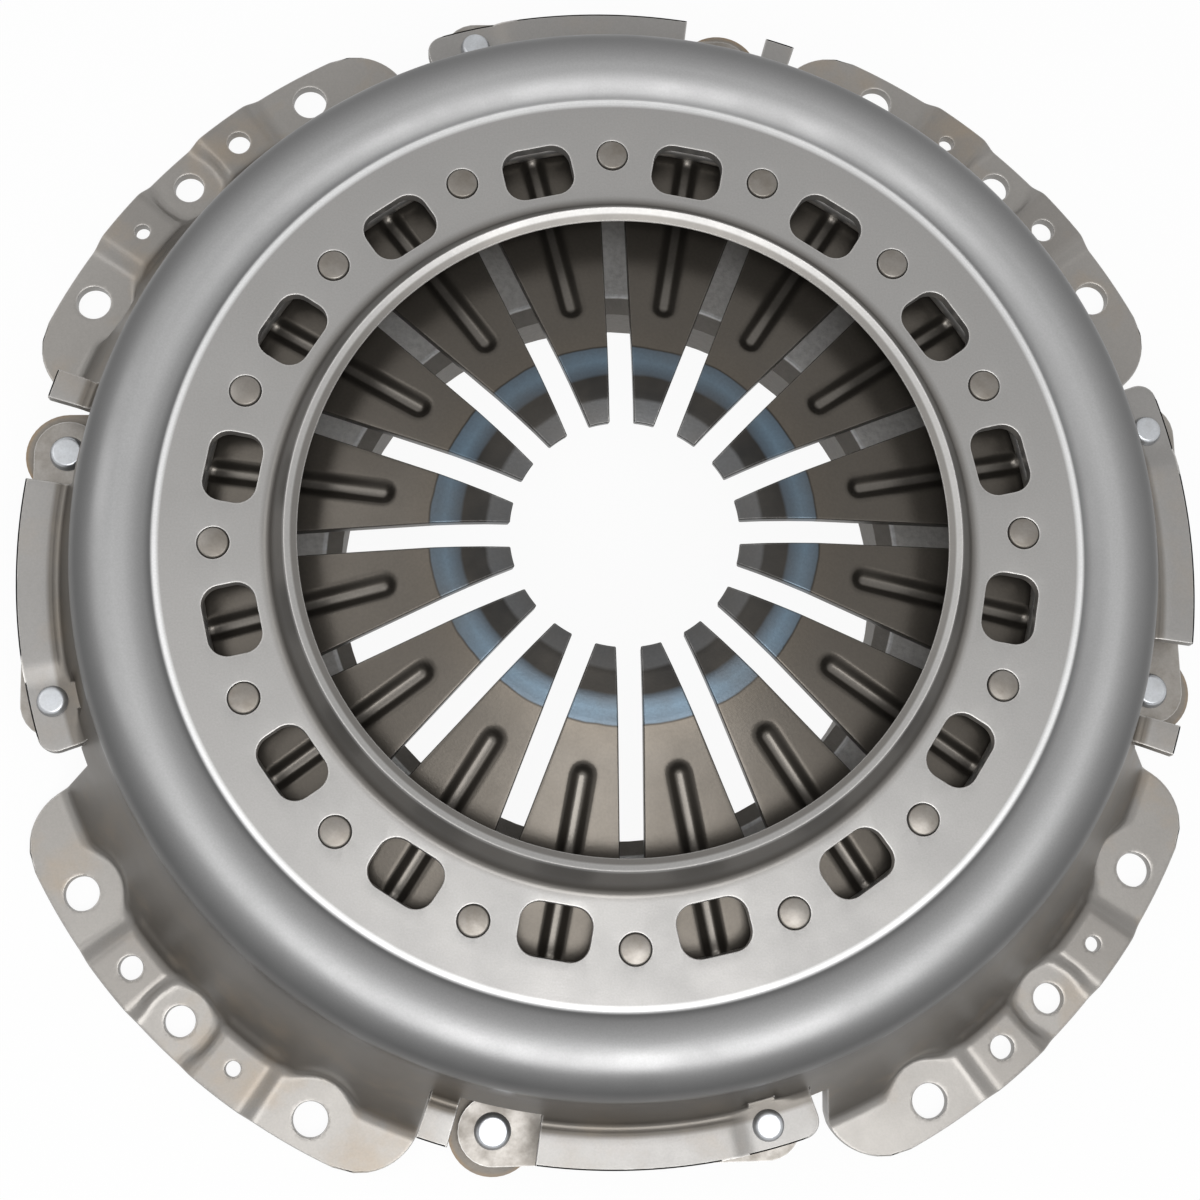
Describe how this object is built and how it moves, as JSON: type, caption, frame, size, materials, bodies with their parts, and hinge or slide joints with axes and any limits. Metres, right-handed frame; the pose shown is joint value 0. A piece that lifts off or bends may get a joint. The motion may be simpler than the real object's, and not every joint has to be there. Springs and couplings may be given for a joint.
{
  "type": "clutch pressure plate",
  "caption": "Truck clutch pressure plate: pressed steel cover with bolt lugs, diaphragm spring fingers, cast friction plate and tangential drive straps.",
  "frame": {"origin": "on the clutch axis, in the plane of the cover's flywheel face, which is the lowest plane of the part", "axes": "+Z along the clutch axis from the flywheel towards the release bearing; +X and +Y through the middles of two strap pads, with the bolt lugs at 45 degrees between them"},
  "size_m": [0.4222, 0.4222, 0.0934],
  "materials": {
    "cover_steel": "satin",
    "spring_steel": "heat-tinted satin",
    "plate_iron": "as cast",
    "ring_steel": "satin",
    "rivet_steel": "zinc-plated satin",
    "rivet_zinc": "bright zinc",
    "strap_steel": "satin"
  },
  "bodies": {
    "cover_body": {"cover": "cover_steel", "diaphragm_spring": "spring_steel", "upper_fulcrum_ring": "ring_steel", "lower_fulcrum_ring": "ring_steel", "fulcrum_rivets": "rivet_steel", "strap_cover_rivets": "rivet_zinc", "strap_1_leaf_1": "strap_steel", "strap_1_leaf_2": "strap_steel", "strap_1_leaf_3": "strap_steel", "strap_2_leaf_1": "strap_steel", "strap_2_leaf_2": "strap_steel", "strap_2_leaf_3": "strap_steel", "strap_3_leaf_1": "strap_steel", "strap_3_leaf_2": "strap_steel", "strap_3_leaf_3": "strap_steel", "strap_4_leaf_1": "strap_steel", "strap_4_leaf_2": "strap_steel", "strap_4_leaf_3": "strap_steel"},
    "plate_body": {"pressure_plate": "plate_iron", "strap_plate_rivets": "rivet_zinc"}
  },
  "joints": [
    {"name": "plate_lift", "type": "slide", "parent": "cover_body", "child": "plate_body", "axis": [0, 0, 1], "range_m": [0, 0.005], "stiffness_N_per_m": 20000, "deforming": ["diaphragm_spring", "strap_1_leaf_1", "strap_1_leaf_2", "strap_1_leaf_3", "strap_2_leaf_1", "strap_2_leaf_2", "strap_2_leaf_3", "strap_3_leaf_1", "strap_3_leaf_2", "strap_3_leaf_3", "strap_4_leaf_1", "strap_4_leaf_2", "strap_4_leaf_3"]}
  ]
}
